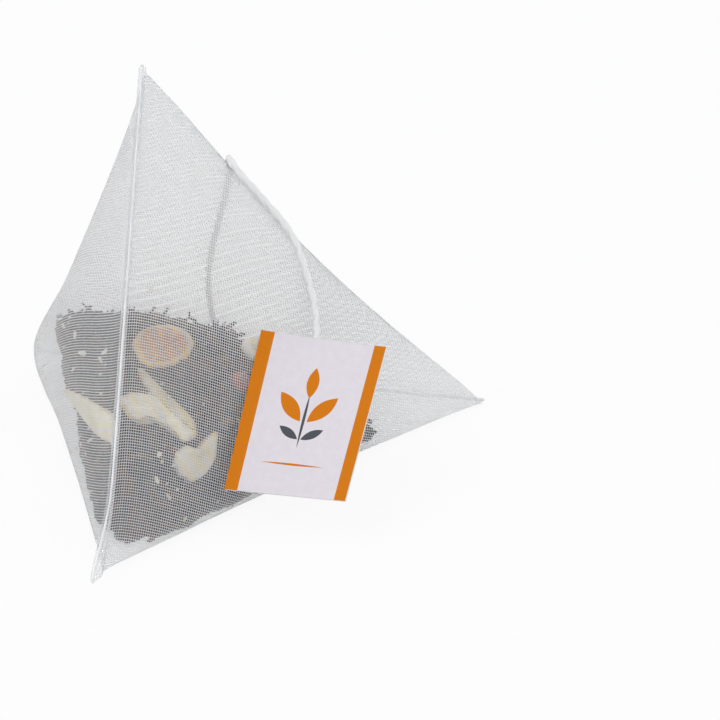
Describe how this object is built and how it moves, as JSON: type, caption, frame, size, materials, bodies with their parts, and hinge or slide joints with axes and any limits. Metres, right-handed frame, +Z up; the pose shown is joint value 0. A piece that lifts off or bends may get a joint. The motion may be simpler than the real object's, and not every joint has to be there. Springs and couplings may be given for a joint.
{
  "type": "pyramid tea bag",
  "caption": "Four-cornered mesh tea pouch with crimped seals, filled with leaf tea and dried fruit, on a cotton string with a card tag.",
  "frame": {"origin": "middle of the pouch's footprint on the surface it rests on, string and tag left out", "axes": "+Z up, the back seal lies along X, the tip of the front seal points to -Y"},
  "size_m": [0.071, 0.0676, 0.0604],
  "materials": {
    "mesh": "fine translucent weave",
    "tea": "dry twisted leaf",
    "orange": "dried fruit",
    "apple": "dried fruit",
    "berry": "dried fruit",
    "thread": "twisted cotton",
    "card": "printed card"
  },
  "bodies": {
    "root": {"apple_piece_broad": "apple", "apple_piece_corner": "apple", "apple_piece_round": "apple", "apple_piece_side": "apple", "berry_flake_a": "berry", "berry_flake_b": "berry", "leaf_bed": "tea", "mesh_bag": "mesh", "orange_slice": "orange", "peel_strip_long": "apple", "string": "thread", "tag": "card", "tea_leaf_01": "tea", "tea_leaf_02": "tea", "tea_leaf_03": "tea", "tea_leaf_04": "tea", "tea_leaf_05": "tea", "tea_leaf_06": "tea", "tea_leaf_07": "tea", "tea_leaf_08": "tea", "tea_leaf_09": "tea", "tea_leaf_10": "tea", "tea_leaf_11": "tea", "tea_leaf_12": "tea", "tea_leaf_13": "tea", "tea_leaf_14": "tea", "tea_leaf_15": "tea", "tea_leaf_16": "tea", "tea_leaf_17": "tea", "tea_leaf_18": "tea", "tea_leaf_19": "tea", "tea_leaf_20": "tea", "tea_leaf_21": "tea", "tea_leaf_22": "tea", "tea_leaf_23": "tea", "tea_leaf_24": "tea", "tea_leaf_25": "tea", "tea_leaf_26": "tea", "tea_leaf_27": "tea", "tea_leaf_28": "tea", "tea_leaf_29": "tea", "tea_leaf_30": "tea", "tea_leaf_31": "tea", "tea_leaf_32": "tea"}
  },
  "joints": []
}
